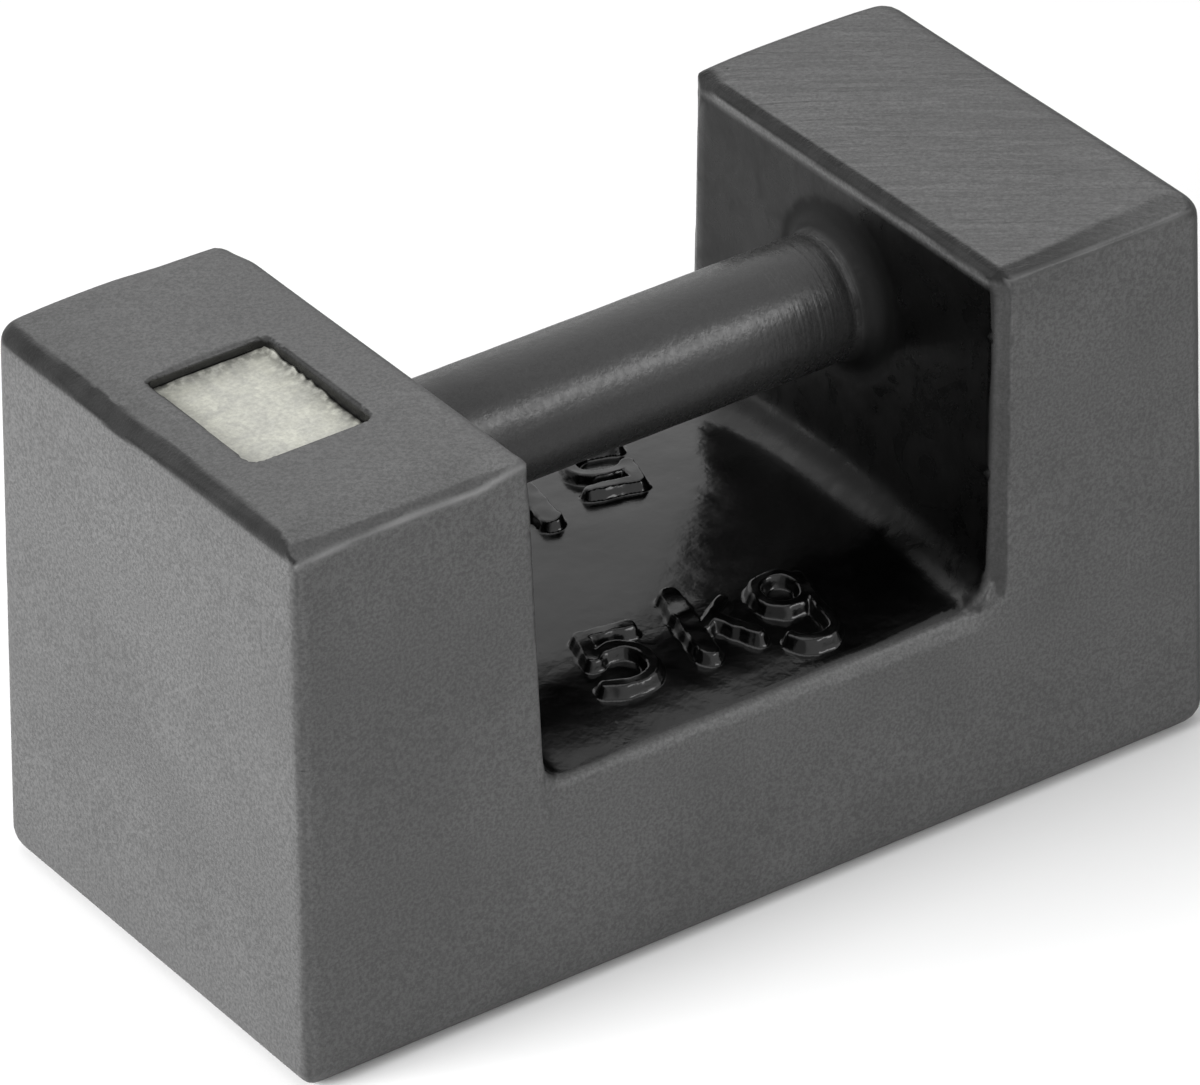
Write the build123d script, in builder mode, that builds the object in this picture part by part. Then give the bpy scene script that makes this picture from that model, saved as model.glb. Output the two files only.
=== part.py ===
"""Five-kilogram cast-iron bar weight with a hand grip and a sealed adjusting cavity.

The origin is on the foot, at the centre of the block. +X runs along the grip towards the plain
upright, +Z is up, and the nominal value is read from the -Y side. Sizes are in millimetres.
"""

from build123d import *
import math
import os

os.makedirs("parts", exist_ok=True)

# ------------------------------------------------------------------ block
top_length = 150.0
top_width = 72.4
height = 85.7
end_draft = 1.6             # how far each end face leans out from the top to the foot
side_draft = 1.2            # the same for the two long sides
corner_radius = 4.0         # the four upright corners
foot_edge_radius = 3.9      # edge all round the foot
top_edge_radius = 3.4       # round the top of each upright

# ------------------------------------------------------------------ hand gap between the uprights
cavity_upright = 37.1       # thickness of the upright with the cavity, at its top
plain_upright = 35.5        # thickness of the other upright, at its top
cavity_wall_draft = 1.2     # how far the wall of that upright leans into the gap at the floor
plain_wall_draft = 1.0
crest_height = 36.8         # floor of the gap above the foot, half-way between the long sides
crown = 3.2                 # how far the floor falls from the crest to each long side
cavity_corner_radius = 7.0  # fillet between the floor and the wall of the upright with the cavity
plain_corner_radius = 5.5   # the same at the other upright
gap_rim_radius = 1.2        # rim of the gap on the two long sides

# ------------------------------------------------------------------ hand grip
grip_diameter = 18.8
grip_drop = 19.2            # from the tops of the uprights down to the axis of the grip
grip_root_radius = 3.2      # fillet where the grip runs into each upright
grip_sink = 8.0             # how far the bar of the grip is carried into each upright

# ------------------------------------------------------------------ adjusting cavity and its closing
mouth_width = 19.2          # along X
mouth_length = 25.8         # along Y
mouth_corner_radius = 1.2
mouth_setback = 17.2        # from the end face, at the top, to the middle of the mouth
mouth_offset = -2.4         # from the middle of the width to the middle of the mouth
shaft_width = 15.0
shaft_length = 22.0
shaft_corner_radius = 2.5
shaft_depth = 46.0          # below the ledge that carries the closing plate
seal_drop = 2.0             # from the top of the upright down to the face of the seal
seal_thickness = 4.0
plate_thickness = 2.0
plate_clearance = 0.2       # all round the closing plate
key_depth = 1.0             # how far the locking groove bites into the walls of the mouth
key_rise = 1.0              # from the closing plate up to the groove
key_height = 1.6            # height of the groove at its root
shot_charge_height = 13.5   # level of the adjusting shot above the bottom of the shaft
shot_shoulder = 1.5         # how the charge falls away at the edges of its top
shot_clearance = 0.15       # all round the charge

# ------------------------------------------------------------------ places that follow from the sizes
foot_length = top_length + 2 * end_draft
foot_width = top_width + 2 * side_draft
gap_left = cavity_upright - top_length / 2
gap_right = top_length / 2 - plain_upright
gap_depth = height - crest_height
grip_height = height - grip_drop
mouth_center = (mouth_setback - top_length / 2, mouth_offset)
seal_top = height - seal_drop
plate_top = seal_top - seal_thickness
ledge_height = plate_top - plate_thickness
shaft_floor = ledge_height - shaft_depth
key_bottom = plate_top + key_rise
end_angle = math.degrees(math.atan2(height, end_draft))
side_angle = math.degrees(math.atan2(height, side_draft))


def mouth_plane(level):
    """Level plane on the axis of the adjusting cavity."""
    return Plane.XY.offset(level).shift_origin((*mouth_center, level))


# ------------------------------------------------------------------ core that leaves the hand gap
with BuildPart() as gap_core:
    # Side walls, spread towards the top and seen from the front
    cavity_lean = cavity_wall_draft / gap_depth
    plain_lean = plain_wall_draft / gap_depth
    with BuildSketch(Plane.XZ):
        with BuildLine():
            Polyline(
                (gap_left - cavity_lean * height, 2 * height),
                (gap_left + cavity_lean * height, 0),
                (gap_right - plain_lean * height, 0),
                (gap_right + plain_lean * height, 2 * height),
                close=True,
            )
        make_face()
    extrude(amount=foot_width, both=True)

    # Crowned floor, seen from the end
    side = foot_width / 2
    with BuildSketch(Plane.YZ):
        with BuildLine():
            floor = ThreePointArc(
                (-side, crest_height - crown), (0, crest_height), (side, crest_height - crown)
            )
            Polyline(floor @ 1, (side, 2 * height), (-side, 2 * height), floor @ 0)
        make_face()
    extrude(amount=foot_length, both=True, mode=Mode.INTERSECT)
    floor_face = gap_core.faces().sort_by(Axis.Z)[0]
    cavity_corner, plain_corner = floor_face.edges().filter_by(Axis.X, reverse=True).sort_by(Axis.X)
    fillet(cavity_corner, cavity_corner_radius)
    fillet(plain_corner, plain_corner_radius)

# ------------------------------------------------------------------ seal, locked in the walls of the mouth
with BuildPart() as seal_plug:
    with BuildSketch(mouth_plane(plate_top)):
        RectangleRounded(mouth_width, mouth_length, mouth_corner_radius)
    extrude(amount=seal_thickness)
    with BuildSketch(mouth_plane(key_bottom)):
        RectangleRounded(
            mouth_width + 2 * key_depth, mouth_length + 2 * key_depth, mouth_corner_radius + key_depth
        )
    with BuildSketch(mouth_plane(key_bottom + key_height)):
        RectangleRounded(mouth_width, mouth_length, mouth_corner_radius)
    loft(ruled=True)

# ------------------------------------------------------------------ core that leaves the adjusting cavity
with BuildPart() as cavity_core:
    with BuildSketch(mouth_plane(ledge_height)):
        RectangleRounded(mouth_width, mouth_length, mouth_corner_radius)
    extrude(amount=height - ledge_height)
    with BuildSketch(mouth_plane(shaft_floor)):
        RectangleRounded(shaft_width, shaft_length, shaft_corner_radius)
    extrude(amount=shaft_depth)
    add(seal_plug.part)

# ------------------------------------------------------------------ cast body
with BuildPart() as cast_body:
    # Block with four leaning sides
    with BuildSketch(Plane.XZ):
        Trapezoid(foot_length, height, end_angle, align=(Align.CENTER, Align.MIN))
    extrude(amount=foot_width, both=True)
    with BuildSketch(Plane.YZ):
        Trapezoid(foot_width, height, side_angle, align=(Align.CENTER, Align.MIN))
    extrude(amount=foot_length, both=True, mode=Mode.INTERSECT)
    top, foot = cast_body.faces().sort_by(Axis.Z)[-1], cast_body.faces().sort_by(Axis.Z)[0]
    level_edges = top.edges() + foot.edges()
    fillet(cast_body.edges() - level_edges, corner_radius)
    fillet(cast_body.edges().group_by(Axis.Z)[0], foot_edge_radius)

    # Hand gap, with the tops of both uprights rounded off on all four sides
    add(gap_core.part, mode=Mode.SUBTRACT)
    fillet(cast_body.edges().group_by(Axis.Z)[-1], top_edge_radius)

    # Rim of the gap on the long sides, down one upright, across the floor and up the other
    long_sides = cast_body.faces().filter_by(GeomType.PLANE).sort_by(Axis.Y)
    rim = (long_sides[0].edges() + long_sides[-1].edges()).filter_by_position(
        Axis.X, gap_left, gap_right
    )
    fillet(rim.filter_by_position(Axis.Z, crest_height - 2 * crown, height), gap_rim_radius)

    # Grip, running into both uprights
    with BuildSketch(Plane.YZ.offset(gap_left - grip_sink)):
        with Locations((0, grip_height)):
            Circle(grip_diameter / 2)
    extrude(amount=gap_right - gap_left + 2 * grip_sink)
    fillet(cast_body.edges(Select.NEW), grip_root_radius)

    # Adjusting cavity, open at the top of one upright
    add(cavity_core.part, mode=Mode.SUBTRACT)

# ------------------------------------------------------------------ closing plate, on the ledge
with BuildPart() as closing_plate:
    with BuildSketch(mouth_plane(ledge_height)):
        RectangleRounded(
            mouth_width - 2 * plate_clearance, mouth_length - 2 * plate_clearance, mouth_corner_radius
        )
    extrude(amount=plate_thickness)

# ------------------------------------------------------------------ adjusting shot, settled in the shaft
with BuildPart() as adjusting_shot:
    with BuildSketch(mouth_plane(shaft_floor)):
        RectangleRounded(
            shaft_width - 2 * shot_clearance,
            shaft_length - 2 * shot_clearance,
            shaft_corner_radius - shot_clearance,
        )
    extrude(amount=shot_charge_height)
    chamfer(adjusting_shot.edges().group_by(Axis.Z)[-1], shot_shoulder)

for piece, label in (
    (cast_body, "cast_body"),
    (seal_plug, "seal_plug"),
    (closing_plate, "closing_plate"),
    (adjusting_shot, "adjusting_shot"),
):
    piece.part.label = label
    export_step(piece.part, f"parts/{label}.step")
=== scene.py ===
"""Looks of a cast-iron bar weight: enamelled casting, hammered seal, camera and studio light.

Lengths in the shaping code are in millimetres of the frame; meshes and places are in metres.
"""

import math

import bmesh
import bpy
import numpy as np
from mathutils import Matrix, Vector, noise
from mathutils.bvhtree import BVHTree


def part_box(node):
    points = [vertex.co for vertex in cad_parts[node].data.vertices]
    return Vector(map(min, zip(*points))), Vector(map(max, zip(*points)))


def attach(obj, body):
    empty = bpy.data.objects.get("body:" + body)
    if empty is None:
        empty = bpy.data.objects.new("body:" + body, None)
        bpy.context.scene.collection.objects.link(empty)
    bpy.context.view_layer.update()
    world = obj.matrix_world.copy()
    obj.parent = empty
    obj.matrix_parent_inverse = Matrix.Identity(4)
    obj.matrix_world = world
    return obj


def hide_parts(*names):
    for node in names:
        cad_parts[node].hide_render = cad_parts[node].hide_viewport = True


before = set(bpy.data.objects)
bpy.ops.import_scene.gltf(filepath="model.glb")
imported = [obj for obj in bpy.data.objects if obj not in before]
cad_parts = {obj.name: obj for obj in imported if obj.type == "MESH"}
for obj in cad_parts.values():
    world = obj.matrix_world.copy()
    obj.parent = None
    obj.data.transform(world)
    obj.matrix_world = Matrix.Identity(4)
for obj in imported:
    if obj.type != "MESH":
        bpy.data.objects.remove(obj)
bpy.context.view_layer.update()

MM = 0.001

# ------------------------------------------------------------------ places on the casting, in mm
body_low, body_high = (np.array(corner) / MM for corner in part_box("cast_body"))
seal_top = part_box("seal_plug")[1][2] / MM
plate_low, plate_high = (np.array(corner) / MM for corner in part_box("closing_plate"))

TOP = body_high[2]
MOUTH_MARGIN = 0.2                        # from the closing plate to the walls of the mouth
mouth_low = plate_low[:2] - MOUTH_MARGIN
mouth_high = plate_high[:2] + MOUTH_MARGIN
mouth_mid = (mouth_low + mouth_high) / 2
mouth_half = (mouth_high - mouth_low) / 2

HALF_TOP = (75.0, 36.2)                   # half length and half width of the block at its top
LEAN = (1.6, 1.2)                         # how much more they are at the foot
CORNER, TOP_ROUND, RIM = 4.0, 3.4, 1.2    # radii of the upright corners, the tops and the gap's rim
GRIP_AXIS = (0.0, 66.5)                   # Y and Z of the grip's axis
GRIP_RADIUS = 9.4
GAP_LEFT, GAP_RIGHT = -37.9, 39.5         # walls of the gap at the top
WALL_LEAN = (1.2, 1.0)                    # how far they come in down to the floor
CAVITY_CORNER = 7.0                       # hollow radius between the floor and the left wall
CREST = 36.8                              # floor of the gap half-way across
CROWN_RADIUS = 220.2                      # round of the floor from one long side to the other
TOP_MIDDLES, TOP_HALF = (-56.4, 57.2), 18.6    # middles and half length of the two tops
CASTING_VOXEL, SEAL_VOXEL = 1.8, 0.42     # coarsest mesh of the two pieces


# ------------------------------------------------------------------ mesh helpers
def points_of(mesh):
    points = np.empty(len(mesh.vertices) * 3)
    mesh.vertices.foreach_get("co", points)
    return points.reshape(-1, 3) / MM


def normals_of(mesh):
    normals = np.empty(len(mesh.vertices) * 3, np.float32)
    mesh.vertex_normals.foreach_get("vector", normals)
    return normals.reshape(-1, 3).astype(float)


def set_points(mesh, points):
    mesh.vertices.foreach_set("co", (points * MM).ravel())
    mesh.update()


def paint(mesh, name, value):
    """Keeps a number at every vertex, under a name that the material reads."""
    layer = mesh.attributes.new(name, "FLOAT", "POINT")
    layer.data.foreach_set("value", value.astype(np.float32))


def smoothstep(low, high, x):
    t = np.clip((x - low) / (high - low), 0.0, 1.0)
    return t * t * (3 - 2 * t)


def ripple(points, size, seed):
    """Smooth noise of about -1 to 1, with bumps about as wide as size."""
    shift = Vector((seed * 17.3, seed * 5.1, seed * 9.7))
    return np.array([noise.noise(Vector(p) / size + shift) for p in points])


def surface_of(node):
    """Search tree of a CAD node's surface, in metres."""
    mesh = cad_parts[node].data
    return BVHTree.FromPolygons([v.co for v in mesh.vertices], [p.vertices for p in mesh.polygons])


def settle(mesh, surface):
    """Lays every vertex on the CAD node's own surface."""
    for vertex in mesh.vertices:
        vertex.co = surface.find_nearest(vertex.co)[0]
    mesh.update()


def split_edges(mesh, chosen):
    """Halves the edges for which chosen is true, and splits the faces between them."""
    shape = bmesh.new()
    shape.from_mesh(mesh)
    shape.edges.ensure_lookup_table()
    picked = [shape.edges[i] for i in np.flatnonzero(chosen)]
    bmesh.ops.subdivide_edges(shape, edges=picked, cuts=1, use_grid_fill=True)
    shape.to_mesh(mesh)
    shape.free()
    mesh.update()


def edge_ends(mesh):
    ends = np.empty(len(mesh.edges) * 2, np.int32)
    mesh.edges.foreach_get("vertices", ends)
    return ends.reshape(-1, 2)


def split_where_curved(mesh, degrees, longer_than):
    ends, points, normals = edge_ends(mesh), points_of(mesh), normals_of(mesh)
    turn = (normals[ends[:, 0]] * normals[ends[:, 1]]).sum(1)
    length = np.linalg.norm(points[ends[:, 0]] - points[ends[:, 1]], axis=1)
    split_edges(mesh, (turn < math.cos(math.radians(degrees))) & (length > longer_than))


def split_in_boxes(mesh, boxes, longer_than):
    ends, points = edge_ends(mesh), points_of(mesh)
    middle = (points[ends[:, 0]] + points[ends[:, 1]]) / 2
    length = np.linalg.norm(points[ends[:, 0]] - points[ends[:, 1]], axis=1)
    inside = np.zeros(len(ends), bool)
    for low, high in boxes:
        inside |= ((middle > low) & (middle < high)).all(1)
    split_edges(mesh, inside & (length > longer_than))


def dense_copy(node, name, voxel):
    """Even quad mesh of a CAD node, laid on the node's own surface."""
    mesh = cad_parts[node].data.copy()
    shape = bmesh.new()
    shape.from_mesh(mesh)
    bmesh.ops.remove_doubles(shape, verts=shape.verts, dist=0.002 * MM)
    shape.to_mesh(mesh)
    shape.free()
    piece = bpy.data.objects.new(name, mesh)
    bpy.context.scene.collection.objects.link(piece)
    remesh = piece.modifiers.new("voxels", "REMESH")
    remesh.mode = "VOXEL"
    remesh.voxel_size = voxel * MM
    bpy.context.view_layer.update()
    state = bpy.context.evaluated_depsgraph_get()
    even = bpy.data.meshes.new_from_object(piece.evaluated_get(state))
    piece.modifiers.clear()
    piece.data = even
    even.materials.clear()
    return piece


# ------------------------------------------------------------------ node helpers
class Tree:
    """A node tree whose nodes are made and joined in short calls."""

    def __init__(self, tree):
        self.nodes, self.links = tree.nodes, tree.links

    def link(self, source, socket):
        if isinstance(source, bpy.types.NodeSocket):
            self.links.new(source, socket)
        else:
            socket.default_value = source

    def math(self, operation, a, b=0.0, c=0.0):
        node = self.nodes.new("ShaderNodeMath")
        node.operation = operation
        for value, socket in zip((a, b, c), node.inputs):
            self.link(value, socket)
        return node.outputs[0]

    def ramp(self, value, low, high, to_low=0.0, to_high=1.0):
        node = self.nodes.new("ShaderNodeMapRange")
        node.interpolation_type = "SMOOTHSTEP"
        for key, number in zip(("Value", "From Min", "From Max", "To Min", "To Max"),
                               (value, low, high, to_low, to_high)):
            self.link(number, node.inputs[key])
        return node.outputs[0]


class Shader(Tree):
    """A material, with the nodes that surfaces are made of; sizes and depths are in mm."""

    def __init__(self, name):
        self.material = bpy.data.materials.new(name)
        self.material.use_nodes = True
        super().__init__(self.material.node_tree)
        self.surface = self.nodes["Principled BSDF"]
        self.place = self.nodes.new("ShaderNodeTexCoord").outputs["Object"]

    def mix(self, share, a, b):
        node = self.nodes.new("ShaderNodeMix")
        node.data_type = "RGBA"
        self.link(share, node.inputs["Factor"])
        self.link(a, node.inputs[6])
        self.link(b, node.inputs[7])
        return node.outputs[2]

    def blend(self, share, a, b):
        """Number between a and b."""
        node = self.nodes.new("ShaderNodeMix")
        node.data_type = "FLOAT"
        for socket, value in zip((0, 2, 3), (share, a, b)):
            self.link(value, node.inputs[socket])
        return node.outputs[0]

    def scaled(self, color, factor):
        node = self.nodes.new("ShaderNodeVectorMath")
        node.operation = "SCALE"
        self.link(color, node.inputs[0])
        self.link(factor, node.inputs["Scale"])
        return node.outputs[0]

    def stretched(self, stretch, turn):
        node = self.nodes.new("ShaderNodeMapping")
        node.vector_type = "TEXTURE"
        self.link(self.place, node.inputs["Vector"])
        node.inputs["Rotation"].default_value = (0, 0, math.radians(turn))
        node.inputs["Scale"].default_value = stretch
        return node.outputs[0]

    def noise(self, size, detail=3.0, rough=0.5, stretch=(1, 1, 1), turn=0.0, distort=0.0):
        """Noise of 0 to 1 with features about size mm wide, longer where stretch is above 1."""
        node = self.nodes.new("ShaderNodeTexNoise")
        self.link(self.stretched(stretch, turn), node.inputs["Vector"])
        node.inputs["Scale"].default_value = 1 / (size * MM)
        node.inputs["Detail"].default_value = detail
        node.inputs["Roughness"].default_value = rough
        node.inputs["Distortion"].default_value = distort
        return node.outputs["Fac"]

    def attribute(self, name):
        node = self.nodes.new("ShaderNodeAttribute")
        node.attribute_name = name
        return node.outputs["Fac"]

    def bump(self, height, depth, under=None):
        """Bump of depth mm, on top of the bump under it."""
        node = self.nodes.new("ShaderNodeBump")
        node.inputs["Distance"].default_value = depth * MM
        self.link(height, node.inputs["Height"])
        if under is not None:
            self.link(under, node.inputs["Normal"])
        return node.outputs[0]

    def finish(self, color, roughness, normal):
        self.link(color, self.surface.inputs["Base Color"])
        self.link(roughness, self.surface.inputs["Roughness"])
        self.link(normal, self.surface.inputs["Normal"])
        return self.material


def rgb(value, tint=(1.0, 1.0, 1.0)):
    return (value * tint[0], value * tint[1], value * tint[2], 1.0)


# ------------------------------------------------------------------ materials
def enamel():
    """Dark grey enamel: satin over the ground outside, black and glossy in the gap."""
    s = Shader("enamel")
    gap, grip, brush = s.attribute("gap"), s.attribute("grip"), s.attribute("brush")
    cloud = s.noise(22, 3)
    even = s.mix(s.ramp(cloud, 0.35, 0.65), rgb(0.077), rgb(0.090))
    grain = s.ramp(s.noise(0.5, 2, 0.7), 0.3, 0.7)
    satin = s.mix(grain, s.scaled(even, 0.72), s.scaled(even, 1.28))
    strokes = s.noise(1.3, 4, 0.6, stretch=(14, 1, 1), turn=-36, distort=1.2)
    lines = s.math("MULTIPLY", brush, s.ramp(strokes, 0.38, 0.62, -0.13, 0.13))
    satin = s.scaled(satin, s.math("SUBTRACT", 1.0, lines))
    # painted shade: the edge share darkens the satin towards a near-black colour along the
    # uprights' edges
    edge = s.math("MULTIPLY", s.attribute("edge"), s.ramp(s.noise(5, 4), 0.3, 0.7, 0.92, 1.04))
    painted_shade_color, painted_highlight_color, black, handled = rgb(0.008), rgb(0.20), rgb(0.001), rgb(0.033)
    # painted highlight: a light colour along the sharp front arrises
    outer = s.mix(s.attribute("painted_highlight"), s.mix(edge, satin, painted_shade_color), painted_highlight_color)
    color = s.mix(grip, s.mix(gap, outer, black), handled)
    s.surface.inputs["Specular IOR Level"].default_value = 0.5

    speckle = s.noise(0.9, 3, 0.7)
    satin_rough = s.ramp(cloud, 0.3, 0.7, 0.40, 0.50)
    cover = s.noise(7, 5, 0.65, distort=0.8)
    floor_rough = s.ramp(cover, 0.3, 0.7, 0.11, 0.21)
    wall_rough = s.ramp(cover, 0.3, 0.7, 0.19, 0.44)
    gloss_rough = s.blend(s.attribute("wall"), floor_rough, wall_rough)
    grip_rough = s.ramp(speckle, 0.3, 0.7, 0.22, 0.36)
    rough = s.blend(grip, s.blend(gap, satin_rough, gloss_rough), grip_rough)
    rough = s.blend(s.attribute("root"), rough, 0.62)

    outside = s.math("SUBTRACT", 1.0, gap)
    streaks = s.noise(0.5, 3, 0.6, stretch=(1, 1, 30))
    waves = s.bump(s.math("MULTIPLY", s.noise(4, 3), gap), 0.09)
    pits = s.bump(s.math("MULTIPLY", speckle, s.blend(grip, 0.25, 1.0)), 0.06, waves)
    drawn = s.bump(s.math("MULTIPLY", streaks, outside), 0.022, pits)
    brushed = s.bump(s.math("MULTIPLY", strokes, brush), 0.65, drawn)
    rings = s.noise(0.5, 2, 0.6, stretch=(1, 60, 60))
    turned = s.bump(s.math("MULTIPLY", rings, s.attribute("turned")), 0.06, brushed)
    normal = s.bump(s.math("MULTIPLY", s.noise(0.6, 3, 0.7), outside), 0.09, turned)
    return s.finish(color, rough, normal)


def soft_metal():
    """Soft bare metal, clouded by hammering, with painted shade where it meets the mouth."""
    s = Shader("soft_metal")
    s.surface.inputs["Metallic"].default_value = 0.55
    cloud = s.noise(4.5, 6, 0.72, distort=0.6)
    clean = s.mix(s.ramp(cloud, 0.3, 0.7), rgb(0.50, (1, 1, 0.92)), rgb(0.64, (1, 1, 0.88)))
    speck = s.ramp(s.noise(0.7, 4, 0.75), 0.3, 0.7, 0.86, 1.12)
    # painted shade near the edge of the mouth
    painted_mouth_shade = s.math("MULTIPLY", s.attribute("painted_mouth_shade"), s.ramp(s.noise(1.2, 3), 0.3, 0.6, 0.5, 1.2))
    color = s.mix(painted_mouth_shade, s.scaled(clean, speck), rgb(0.08, (1, 1, 0.9)))
    fine = s.bump(s.noise(0.5, 3, 0.6), 0.02)
    return s.finish(color, s.ramp(cloud, 0.3, 0.7, 0.50, 0.40), s.bump(cloud, 0.05, fine))


def bare_steel():
    s = Shader("bare_steel")
    s.surface.inputs["Metallic"].default_value = 1.0
    brush = s.noise(0.3, 3, 0.6, stretch=(30, 1, 1))
    color = s.mix(brush, rgb(0.38), rgb(0.5))
    return s.finish(color, s.ramp(brush, 0.3, 0.7, 0.3, 0.45), s.bump(brush, 0.01))


def dull_lead():
    s = Shader("dull_lead")
    s.surface.inputs["Metallic"].default_value = 0.8
    shot = s.nodes.new("ShaderNodeTexVoronoi")
    s.link(s.place, shot.inputs["Vector"])
    shot.inputs["Scale"].default_value = 1 / (3.5 * MM)
    color = s.mix(s.noise(4), rgb(0.16), rgb(0.26))
    return s.finish(color, 0.55, s.bump(s.math("SUBTRACT", 1.0, shot.outputs["Distance"]), 1.2))


# ------------------------------------------------------------------ casting
def box(x, y, z):
    return np.array([x[0], y[0], z[0]]), np.array([x[1], y[1], z[1]])


LETTER_ZONES = [box((-21, 22), (-34, -9), (30, 42)), box((-22, 21), (9, 34), (30, 42))]
FINE_ZONES = LETTER_ZONES + [
    box((mouth_low[0] - 1.2, mouth_high[0] + 1.2), (mouth_low[1] - 1.2, mouth_high[1] + 1.2),
        (TOP - 2.5, TOP + 1)),
    box((-78, -71), (-39, -31.5), (0, 87)),             # upright edge between the end and the front
    box((-77, -70.5), (-38, 38), (81, 87)),             # top of the end
    box((-77, -34), (-38, -31.5), (81, 87)),            # top of the front, left and right
    box((37, 77), (-38, -30), (82, 87)),
    box((-41, -33), (-38, -33.5), (28, 87)),            # front edges of the gap's walls
    box((36, 43), (-38, -33.0), (28, 87)),
    box((-36, 39), (-38, -31.5), (29, 37.5)),           # front edge of the gap's floor
    box((37, 44), (-38, 38), (81.5, 87)),               # tops of the gap's walls
    box((-42.5, -35.5), (-38, 38), (81.5, 87)),
    box((32, 40), (-14, 14), (52, 81)),                 # roots of the grip
    box((-39, -31), (-14, 14), (52, 81)),
]


def floor_level(y):
    return CREST - CROWN_RADIUS + np.sqrt(CROWN_RADIUS**2 - y**2)


def depths_of(points):
    """How deep each point lies under each face of the block, and the way into that face."""
    x, y, z = points.T
    half_x, half_y = (half + lean * (TOP - z) / TOP for half, lean in zip(HALF_TOP, LEAN))
    fall = (TOP - z) / (TOP - CREST)
    return {
        "end": (half_x + x, (1, 0, 0)),
        "far_end": (half_x - x, (-1, 0, 0)),
        "front": (half_y + y, (0, 1, 0)),
        "back": (half_y - y, (0, -1, 0)),
        "top": (TOP - z, (0, 0, -1)),
        "left_wall": (GAP_LEFT + WALL_LEAN[0] * fall - x, (-1, 0, 0)),
        "right_wall": (x - GAP_RIGHT + WALL_LEAN[1] * fall, (1, 0, 0)),
        "floor": (floor_level(np.clip(y, -37.4, 37.4)) - z, (0, 0, -1)),
    }


def square_up(points, faces, radius, power, share=1.0):
    """Draws the rounded edge between two faces out towards a square corner."""
    depths = depths_of(points)
    (depth_a, into_a), (depth_b, into_b) = (depths[face] for face in faces)
    near = (depth_a > -0.5) & (depth_b > -0.5)
    over_a, over_b = (np.clip(1 - depth / radius, 1e-6, 1.1) for depth in (depth_a, depth_b))
    square = (over_a**power + over_b**power) ** (1 / power)
    grow = np.where(near, np.hypot(over_a, over_b) / square - 1, 0) * radius * share
    points -= np.outer(grow * over_a, into_a) + np.outer(grow * over_b, into_b)


def tighten_hollow(points, wall, radius, power, share):
    """Draws the hollow corner between the gap's floor and a wall in towards a square one."""
    depths = depths_of(points)
    (depth_a, into_a), (depth_b, into_b) = depths[wall], depths["floor"]
    over_a, over_b = (np.clip(1 + depth / radius, 1e-6, 1.1) for depth in (depth_a, depth_b))
    square = (over_a**power + over_b**power) ** (1 / power)
    fade = smoothstep(4, 0, np.maximum(depth_a, depth_b)) * share
    grow = (np.hypot(over_a, over_b) / square - 1) * radius * fade
    points += np.outer(grow * over_a, into_a) + np.outer(grow * over_b, into_b)


def arch_leg(x):
    """How deep the arched bevel on the front of the left upright reaches under its top."""
    return (2.0 + 0.8 * ((x + 55) / 17) ** 2) * (1 - 0.65 * smoothstep(-47, -38.5, x))


def bevel(points, legs, share=1.0):
    """Planes off the edge or corner between faces, as deep under each face as its leg."""
    depths = depths_of(points)
    steep = np.sqrt(sum(1 / leg**2 for leg in legs.values()))
    over = 1 - sum(depths[face][0] / leg for face, leg in legs.items())
    over = np.clip(over, 0, None) / steep * share
    for face in legs:
        over = over * smoothstep(-1.0, -0.2, depths[face][0])
    for face, leg in legs.items():
        points += np.outer(over / steep / leg, depths[face][1])


def outside_mouth(x, y):
    """Distance from the walls of the mouth, below zero inside."""
    over_x = np.abs(x - mouth_mid[0]) - mouth_half[0]
    over_y = np.abs(y - mouth_mid[1]) - mouth_half[1]
    return np.maximum(over_x, over_y)


def crown_tops(points):
    """Lets the tops of the uprights fall off towards their sides, most at the back."""
    x, y, z = points.T
    middle = np.where(x < 0, *TOP_MIDDLES)
    share = np.where((x > TOP_MIDDLES[0]) & (x < 0), 0.45, 1.0) * (outside_mouth(x, y) >= 0)
    fall = np.clip(np.abs(x - middle) / TOP_HALF, 0, 1.1) ** 3 * smoothstep(-30, 30, y)
    points[:, 2] -= 0.8 * share * fall * smoothstep(TOP - 10, TOP - 1, z)


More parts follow.
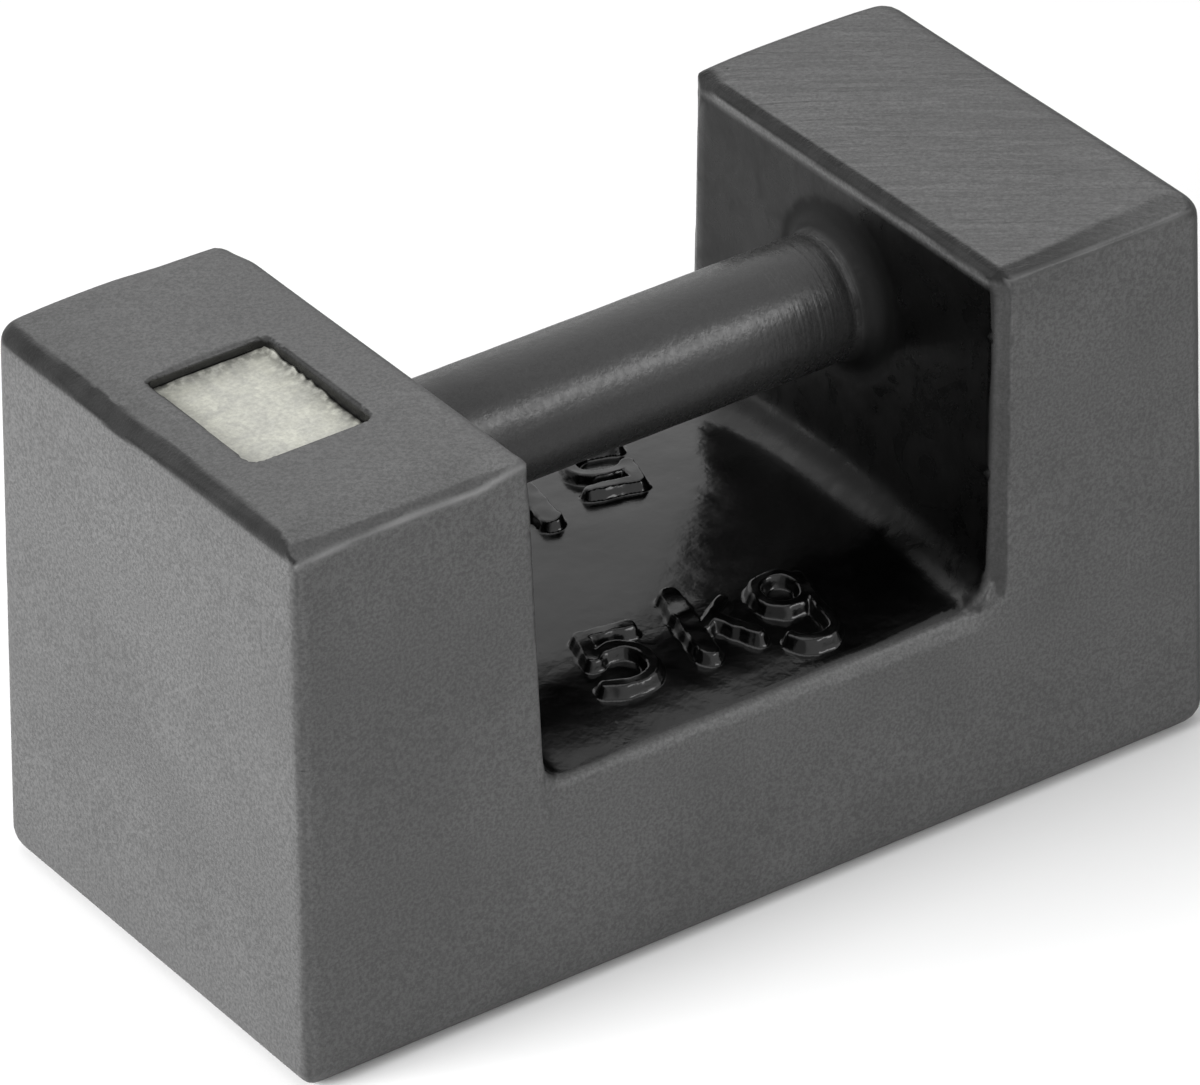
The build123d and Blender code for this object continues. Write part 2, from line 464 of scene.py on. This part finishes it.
def dress_edges(points):
    """Ground, rolled and knocked edges of the casting, each with its own width."""
    left, right = (points[:, 0] < 0).astype(float), (points[:, 0] > 0).astype(float)
    low = smoothstep(84, 79, points[:, 2])
    square_up(points, ("end", "front"), CORNER, 4.5)
    square_up(points, ("far_end", "front"), CORNER, 2.3)
    square_up(points, ("end", "back"), CORNER, 3.2)
    square_up(points, ("top", "back"), TOP_ROUND, 3.0, smoothstep(-48, -58, points[:, 0]))
    square_up(points, ("top", "front"), TOP_ROUND, 6, right * smoothstep(76, 66, points[:, 0]))
    by_gap = smoothstep(-45, -38.5, points[:, 0])
    square_up(points, ("top", "front"), TOP_ROUND, 2.6 + 3.4 * by_gap, left)
    ahead = smoothstep(2, 9, depths_of(points)["back"][0])
    square_up(points, ("top", "right_wall"), TOP_ROUND, 5, ahead)
    square_up(points, ("top", "left_wall"), TOP_ROUND, 5, ahead)
    square_up(points, ("front", "left_wall"), RIM, 4, low)
    in_front = smoothstep(-12, -30, points[:, 1]) * smoothstep(50, 46, points[:, 2])
    tighten_hollow(points, "left_wall", CAVITY_CORNER, 3.5, in_front)

    x, y, z = points.T.copy()
    wobble = ripple(points, 9, 3)
    setback = np.interp(x, (41, 70), (2.1, 4.6)) + 0.25 * wobble
    bevel(points, {"top": 1.25 + 0.15 * wobble, "front": setback}, right * smoothstep(77, 71, x))
    arch = arch_leg(x)
    bevel(points, {"top": arch + 0.15 * wobble, "front": 1.3 * arch}, left)
    bevel(points, {"top": 0.55 * arch, "front": 7.0}, left)
    drop = np.interp(y, (-36, -22, -6, 6, 18, 29, 36), (1.0, 1.7, 2.2, 2.8, 2.1, 1.0, 0.6))
    bevel(points, {"top": drop, "end": 2.9 + 0.4 * wobble}, left)
    bevel(points, {"top": 0.45 * drop, "end": 6.0}, left)
    bevel(points, {"end": 2.4, "front": 0.35}, left)
    bevel(points, {"end": 0.35, "front": 2.2}, left)
    bevel(points, {"end": 3.0, "front": 2.6, "top": 4.6}, left)
    bevel(points, {"end": 2.2, "front": 3.4, "top": 3.0}, left)
    beside_gap = smoothstep(32, 37, z)
    bevel(points, {"front": 2.1 + 0.15 * wobble, "right_wall": 2.1}, beside_gap)
    bevel(points, {"front": 3.0, "right_wall": 3.4, "top": 5.0})
    bevel(points, {"back": 3.4, "right_wall": 1.8}, beside_gap)
    bevel(points, {"back": 1.8, "right_wall": 3.4}, beside_gap)
    bevel(points, {"top": 1.3 + 0.2 * wobble, "right_wall": 1.5})
    bevel(points, {"top": 0.7, "left_wall": 0.9}, ahead)
    bevel(points, {"back": 5.0, "left_wall": 5.0, "top": 3.2})
    lip = np.interp(x, (-34, -10, 36), (1.0, 1.5, 2.9)) + 0.35 * ripple(points, 7, 5)
    inside = smoothstep(GAP_LEFT + 1, GAP_LEFT + 6, x)
    inside *= smoothstep(GAP_RIGHT - 0.5, GAP_RIGHT - 5, x)
    bevel(points, {"floor": lip, "front": 0.55 * lip}, inside)
    bevel(points, {"floor": 0.5 * lip, "front": lip}, inside)


def roots_of_grip(points, normals):
    """Uneven ring of metal round each end of the grip, with a crease beside it."""
    x, y, z = points.T
    across, above = y - GRIP_AXIS[0], z - GRIP_AXIS[1]
    around = np.hypot(across, above)
    close = smoothstep(15.5, 12.5, around) * (around > GRIP_RADIUS - 1)
    uneven = 1 + 0.9 * ripple(points, 5, 8)
    ring = 0.12 * np.exp(-(((x - 37.0) / 1.1) ** 2)) - 0.16 * np.exp(-(((x - 35.2) / 0.8) ** 2))
    twin = 0.22 * np.exp(-(((x + 35.6) / 1.1) ** 2)) - 0.14 * np.exp(-(((x + 33.8) / 0.8) ** 2))
    line = 0.10 * np.exp(-(((x - 23.5 - 0.5 * uneven) / 0.35) ** 2))
    return normals * ((ring + twin - line) * close * uneven)[:, None]


# ------------------------------------------------------------------ raised figures
def arc(middle, radius, start, end, steps=14):
    angles = np.radians(np.linspace(start, end, steps))
    return [(middle[0] + radius * math.cos(a), middle[1] + radius * math.sin(a)) for a in angles]


# Each figure: place of its lower left corner on the slope, then its strokes, each as half its
# width and the points of its middle line
FIGURES = (
    ((-19.5, -25.3), (
        (1.25, [(9.2, 11.7), (2.2, 11.8)]),
        (1.40, [(2.2, 11.8), (1.8, 6.9)]),
        (1.20, [(1.8, 6.9), (3.6, 7.9)] + arc((5.2, 4.1), 4.0, 95, -95) + [(2.6, 0.2), (1.0, 0.8)]),
    )),
    ((-3.4, -25.4), (
        (1.85, [(1.6, 0.2), (1.6, 13.0)]),
        (1.15, [(8.0, 9.8), (3.4, 5.2)]),
        (1.25, [(5.2, 6.8), (9.6, 1.2)]),
    )),
    ((8.0, -25.5), (
        (1.10, arc((5.0, 6.6), 3.5, 0, 360, 24)),
        (1.10, [(8.6, 8.8), (9.1, -0.8)] + arc((5.5, -1.4), 3.6, -10, -150)),
    )),
)
FIGURE_TURN = math.radians(-12)
FIGURE_HEIGHT = 1.7


def inside_figures(spots):
    """Depth of each spot inside the nearest stroke, below zero outside."""
    turn = np.array([[math.cos(FIGURE_TURN), -math.sin(FIGURE_TURN)],
                     [math.sin(FIGURE_TURN), math.cos(FIGURE_TURN)]])
    depth = np.full(len(spots), -9.0)
    for place, strokes in FIGURES:
        own = (spots - place) @ turn
        for half_width, line in strokes:
            line = np.array(line)
            start, run = line[:-1], np.diff(line, axis=0)
            reach = own[:, None] - start
            along = np.clip((reach * run).sum(2) / (run**2).sum(1), 0, 1)
            away = np.linalg.norm(reach - along[..., None] * run, axis=2).min(1)
            depth = np.maximum(depth, half_width - away)
    return depth


def figure_depths(points):
    """The same for points on both slopes; each slope is read from its own side."""
    depth = np.full(len(points), -9.0)
    for (low, high), turn in zip(LETTER_ZONES, (1, -1)):
        here = ((points > low) & (points < high)).all(1)
        depth[here] = inside_figures(points[here, :2] * turn)
    return depth


def raise_figures(points):
    depth = figure_depths(points)
    here = depth > -2
    uneven = 1 + 0.20 * ripple(points[here], 4, 21)
    shoulder = smoothstep(-0.45, 0.5, depth[here] + 0.26 * ripple(points[here], 1.8, 22))
    points[here, 2] += FIGURE_HEIGHT * shoulder * uneven


def make_casting():
    piece = dense_copy("cast_body", "casting", CASTING_VOXEL)
    mesh = piece.data
    surface = surface_of("cast_body")
    settle(mesh, surface)
    split_where_curved(mesh, 9, 1.2)
    settle(mesh, surface)
    for longer_than in (1.1, 0.62):
        split_in_boxes(mesh, FINE_ZONES, longer_than)
        settle(mesh, surface)
    for longer_than in (0.34, 0.25):
        ends, points = edge_ends(mesh), points_of(mesh)
        depth = figure_depths(points)[ends]
        length = np.linalg.norm(points[ends[:, 0]] - points[ends[:, 1]], axis=1)
        split_edges(mesh, (np.abs(depth).min(1) < 0.75) & (length > longer_than))
        settle(mesh, surface)
    masks = coats(points_of(mesh))
    points, normals = points_of(mesh), normals_of(mesh)
    cast = masks["gap"] * (1 - masks["grip"])
    rough = 0.28 * ripple(points, 15, 1) + 0.03 * ripple(points, 4.5, 2)
    ground = 0.05 * ripple(points, 24, 12)
    inner = (depths_of(points)["top"][0] > 1.0) * (np.abs(points[:, 0]) < 78)
    points += normals * (rough * cast - np.abs(ground) * (1 - masks["gap"]) * inner)[:, None]
    points += roots_of_grip(points, normals)
    points += normals * (0.05 * ripple(points, 3.5, 9) * masks["grip"])[:, None]
    dress_edges(points)
    crown_tops(points)
    raise_figures(points)
    set_points(mesh, np.clip(points, body_low, body_high))
    # painted shade along the edges of the uprights
    masks["edge"] = painted_edge_shade(points_of(mesh), normals_of(mesh), masks["gap"])
    # painted highlight along the front arrises
    masks["painted_highlight"] = painted_arris_highlight(points_of(mesh))
    for name, value in masks.items():
        paint(mesh, name, value)
    mesh.polygons.foreach_set("use_smooth", [True] * len(mesh.polygons))
    mesh.materials.append(enamel())
    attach(piece, "root")
    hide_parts("cast_body")
    return piece


def painted_edge_shade(points, normals, gap):
    """Share of painted shade along the edges of the uprights: dark bands on their rolled sloping
    edges, on the front corners and towards the far end of the left top.
    """
    x, y, z = points.T
    level = np.abs(normals[:, 2])
    slope = smoothstep(0.10, 0.35, level) * smoothstep(0.998, 0.90, level)
    slope *= smoothstep(TOP - 7, TOP - 4.5, z)
    to_gap = (normals[:, 0] < -0.2) & (x > 0)
    to_end = (normals[:, 0] < -0.2) & (x < 0)
    strength = np.where(to_gap | to_end, 1.0, np.where(x > 0, 0.95, 0.50))
    upright = smoothstep(0.25, 0.5, np.abs(normals[:, :2])).prod(1)
    # painted shade: the left top grows darker towards its end
    towards_end = 0.16 * smoothstep(-60, -74, x) * smoothstep(TOP - 2, TOP - 0.5, z)
    dark = slope * strength + np.where(x > 0, 0.7, 0.4) * upright * (y < 0) + towards_end
    return np.clip(dark, 0, 1) * (1 - gap)


def painted_arris_highlight(points):
    """Share of the painted highlight, a light line along the sharp lower edge of the top facets on
    the front.
    """
    x = points[:, 0]
    depths = depths_of(points)
    under = np.where(x < 0, arch_leg(x), 1.25)
    line = np.exp(-(((depths["top"][0] - under) / 0.42) ** 2)) * (depths["front"][0] < 0.7)
    return line * np.clip(0.7 + 0.5 * ripple(points, 6, 41), 0, 1) * np.where(x < 0, 1.0, 0.45)


def coats(points):
    """Share of each coat at each vertex: the gloss of the gap, the grip, and brushed tops."""
    x, y, z = points.T
    between = smoothstep(GAP_LEFT - 1.0, GAP_LEFT - 0.3, x)
    between *= smoothstep(GAP_RIGHT + 1.0, GAP_RIGHT + 0.3, x)
    across = smoothstep(36.4, 34.6, np.abs(y))
    above = smoothstep(31.0, 32.5, z) * smoothstep(TOP - 1.7, TOP - 3.2, z)
    around = np.hypot(y - GRIP_AXIS[0], z - GRIP_AXIS[1])
    bar = smoothstep(13.4, 11.5, around) * smoothstep(-38.5, -36.5, x) * smoothstep(37.6, 35.6, x)
    top = smoothstep(TOP - 1.0, TOP - 0.2, z)
    # the walls of the seal's pocket take almost the gap's black and gloss
    pocket = smoothstep(0.5, 0.1, outside_mouth(x, y)) * smoothstep(TOP - 0.1, TOP - 0.6, z)
    gap = np.maximum(between * across * above, 0.97 * pocket)
    wall = smoothstep(GAP_RIGHT - 6.5, GAP_RIGHT - 3.5, x)
    wall += smoothstep(GAP_LEFT + 5.5, GAP_LEFT + 1.5, x)
    turned = bar * np.maximum(smoothstep(17, 24, x), smoothstep(-27, -32, x))
    brush = top * (0.3 + 0.7 * (x > 0))
    root = smoothstep(14.5, 13.0, around) * smoothstep(35.8, 37.2, np.abs(x))
    root *= np.abs(x) < GAP_RIGHT + 0.5
    return {
        "gap": gap, "grip": bar, "wall": wall, "turned": turned, "brush": brush, "root": root,
    }


# ------------------------------------------------------------------ seal
def make_seal():
    piece = dense_copy("seal_plug", "seal", SEAL_VOXEL)
    mesh = piece.data
    settle(mesh, surface_of("seal_plug"))
    points = points_of(mesh)
    mid, half = mouth_mid, mouth_half
    x, y, z = points.T
    side_x, side_y = (x - mid[0]) / half[0], (y - mid[1]) / half[1]
    face = smoothstep(seal_top - 1.2, seal_top - 0.05, z)
    edge = np.minimum(half[0] - np.abs(x - mid[0]), half[1] - np.abs(y - mid[1]))
    dish = 0.04 * ripple(points, 3.2, 31) + 0.12 * ripple(points, 8, 32)
    dish -= 0.30 * smoothstep(0.0, 2.5, edge)
    ragged = np.clip(0.7 + 0.8 * ripple(points, 1.4, 33), 0, None)
    to_back, to_right = half[1] - (y - mid[1]), half[0] - (x - mid[0])
    back = 0.50 * np.exp(-((to_back / 0.5) ** 2)) * (0.8 + 0.3 * ripple(points, 3, 34))
    right = 0.75 * np.exp(-((to_right / 0.55) ** 2)) * smoothstep(-0.45, 0.15, side_y)
    rise = dish + back + right * ragged
    points[:, 2] += face * np.minimum(rise, 1.2)
    set_points(mesh, points)
    # painted shade: darker near the mouth's edge, most at the back and right sides, and not on the
    # raised lips
    sheltered = np.maximum(smoothstep(0.0, 0.6, side_y), smoothstep(0.3, 0.9, side_x))
    painted_mouth_shade = np.exp(-edge / 1.5) * (0.35 + 0.65 * sheltered)
    painted_mouth_shade *= 1 - smoothstep(0.1, 0.7, rise) * face
    paint(mesh, "painted_mouth_shade", painted_mouth_shade)
    mesh.polygons.foreach_set("use_smooth", [True] * len(mesh.polygons))
    mesh.materials.append(soft_metal())
    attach(piece, "root")
    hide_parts("seal_plug")
    return piece


# ------------------------------------------------------------------ stage, light and camera
def make_floor():
    bpy.ops.mesh.primitive_plane_add(size=12)
    floor = bpy.context.object
    floor.name = "floor"
    s = Shader("floor")
    path = s.nodes.new("ShaderNodeLightPath").outputs
    unseen = s.mix(path["Is Glossy Ray"], rgb(0.78), rgb(0.55))
    s.link(s.mix(path["Is Camera Ray"], unseen, rgb(0.95)), s.surface.inputs["Base Color"])
    s.surface.inputs["Roughness"].default_value = 0.9
    floor.data.materials.append(s.material)


def area_light(name, place, target, size, watts):
    lamp = bpy.data.lights.new(name, "AREA")
    lamp.shape = "RECTANGLE"
    lamp.size, lamp.size_y = size
    lamp.energy = watts
    holder = bpy.data.objects.new(name, lamp)
    bpy.context.scene.collection.objects.link(holder)
    holder.location = place
    holder.rotation_euler = (Vector(target) - Vector(place)).to_track_quat("-Z", "Y").to_euler()
    return holder


def make_world(diffuse_strength):
    """White studio with an even fill; its reflection is dim overhead and towards the end (-X)."""
    world = bpy.data.worlds.new("studio")
    bpy.context.scene.world = world
    world.use_nodes = True
    tree = Tree(world.node_tree)
    background = tree.nodes["Background"].inputs
    background["Color"].default_value = (1, 1, 1, 1)
    way = tree.nodes.new("ShaderNodeSeparateXYZ")
    tree.link(tree.nodes.new("ShaderNodeTexCoord").outputs["Generated"], way.inputs[0])
    overhead = tree.ramp(way.outputs["Z"], 0.70, 0.95, 1.0, 0.60)
    towards_end = tree.ramp(way.outputs["X"], -0.55, -0.25, 0.40, 1.0)
    mirrored = tree.math("MINIMUM", overhead, towards_end)
    path = tree.nodes.new("ShaderNodeLightPath").outputs
    unseen = tree.ramp(path["Is Glossy Ray"], 0.0, 1.0, diffuse_strength, mirrored)
    tree.link(tree.ramp(path["Is Camera Ray"], 0.0, 1.0, unseen, 1.0), background["Strength"])


CAMERA_AZIMUTH, CAMERA_ELEVATION, CAMERA_ROLL = -34.77, 32.45, -0.96     # degrees
CAMERA_TARGET = Vector((0.0390, 0.0585, -0.00468))
CAMERA_DISTANCE = 1.46623
CAMERA_LENS = 301.7


def make_camera():
    camera = bpy.data.cameras.new("camera")
    camera.lens = CAMERA_LENS
    camera.sensor_fit = "HORIZONTAL"
    camera.sensor_width = 36.0
    camera.clip_end = 20
    holder = bpy.data.objects.new("camera", camera)
    bpy.context.scene.collection.objects.link(holder)
    turn = (
        Matrix.Rotation(math.radians(CAMERA_AZIMUTH), 4, "Z")
        @ Matrix.Rotation(math.radians(90 - CAMERA_ELEVATION), 4, "X")
        @ Matrix.Rotation(math.radians(CAMERA_ROLL), 4, "Z")
    )
    back = turn.to_3x3() @ Vector((0, 0, 1))
    holder.matrix_world = Matrix.Translation(CAMERA_TARGET + CAMERA_DISTANCE * back) @ turn
    bpy.context.scene.camera = holder


make_casting()
make_seal()
for node, material, slot in (
    ("closing_plate", bare_steel(), "plate_steel"),
    ("adjusting_shot", dull_lead(), "dull_shot"),
):
    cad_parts[node].data.materials.clear()
    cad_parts[node].data.materials.append(material)

make_floor()
make_world(diffuse_strength=0.32)
left = area_light("left", (-1.45, 0.08, 0.62), (0, 0, 0.04), (1.0, 0.9), 47)
left.visible_glossy = False        # no glare of the lamp on the tops, seen low from the far end
area_light("front", (0.72, -1.04, 0.80), (0, 0, 0.05), (0.9, 0.45), 5.4)
area_light("top", (0.0, 0.15, 1.6), (0, 0, 0.04), (1.2, 1.2), 4.2)
make_camera()
bpy.context.scene.view_settings.view_transform = "Standard"
